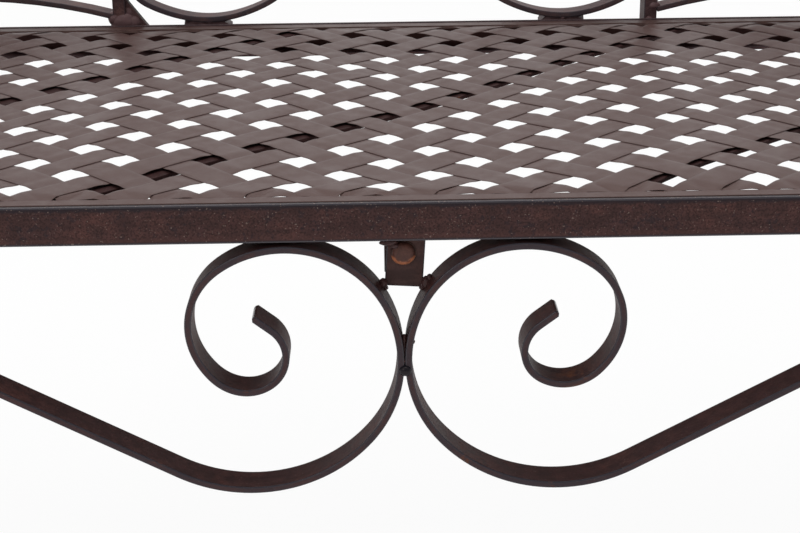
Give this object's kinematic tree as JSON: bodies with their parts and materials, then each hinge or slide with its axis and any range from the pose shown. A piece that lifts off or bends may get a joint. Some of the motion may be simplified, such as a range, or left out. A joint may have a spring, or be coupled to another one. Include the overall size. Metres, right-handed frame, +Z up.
{
  "type": "metal garden bench",
  "caption": "Metal garden bench with a woven strap seat in an angle frame, a scrolled apron, curled armrests and a back filled with scrolls, for sitting outdoors.",
  "frame": {"origin": "middle of the bounding box's footprint, on the floor", "axes": "+X to the right as seen from the front, along the bench; the front faces -Y; +Z up"},
  "size_m": [1.145, 0.6274, 0.8935],
  "materials": {
    "frame_paint": "satin dark brown paint, mottled, rubbed at the edges",
    "seat_paint": "satin grey-brown paint",
    "bolt_paint": "brown paint over steel, bare at the rim",
    "bare_steel": "plain zinc-plated steel",
    "foot_plastic": "matt black"
  },
  "bodies": {
    "root": {"apron_bolt": "bolt_paint", "apron_end_bolts": "bolt_paint", "apron_end_nuts": "bare_steel", "apron_lug": "frame_paint", "apron_nut": "bare_steel", "apron_plate": "frame_paint", "apron_scroll_left": "frame_paint", "apron_scroll_right": "frame_paint", "armrest_left": "frame_paint", "armrest_right": "frame_paint", "back_arch_left": "frame_paint", "back_arch_right": "frame_paint", "back_bolts": "bolt_paint", "back_bottom_rail": "frame_paint", "back_crest_rail": "frame_paint", "back_outer_scroll_left": "frame_paint", "back_outer_scroll_right": "frame_paint", "back_rail_plugs": "bare_steel", "back_scroll_left": "frame_paint", "back_scroll_right": "frame_paint", "back_stay_left": "frame_paint", "back_stem_left": "frame_paint", "back_stem_right": "frame_paint", "foot_front_left": "foot_plastic", "foot_front_right": "foot_plastic", "foot_rear_left": "foot_plastic", "foot_rear_right": "foot_plastic", "front_leg_left": "frame_paint", "front_leg_right": "frame_paint", "post_cap_left": "foot_plastic", "post_cap_right": "foot_plastic", "rear_post_left": "frame_paint", "rear_post_right": "frame_paint", "scroll_pad_left": "frame_paint", "scroll_pad_right": "frame_paint", "seat_bolts": "bolt_paint", "seat_edge_back": "seat_paint", "seat_edge_front": "seat_paint", "seat_edge_left": "seat_paint", "seat_edge_right": "seat_paint", "seat_nuts": "bare_steel", "seat_rail_back": "frame_paint", "seat_rail_front": "frame_paint", "seat_rail_left": "frame_paint", "seat_rail_right": "frame_paint", "seat_straps_falling": "seat_paint", "seat_straps_rising": "seat_paint", "seat_support_bar_1": "frame_paint", "seat_support_bar_2": "frame_paint", "seat_support_bar_3": "frame_paint", "seat_support_bar_4": "frame_paint", "side_beam_left": "frame_paint", "side_beam_right": "frame_paint", "side_scroll_left": "frame_paint", "side_scroll_right": "frame_paint"}
  },
  "joints": []
}
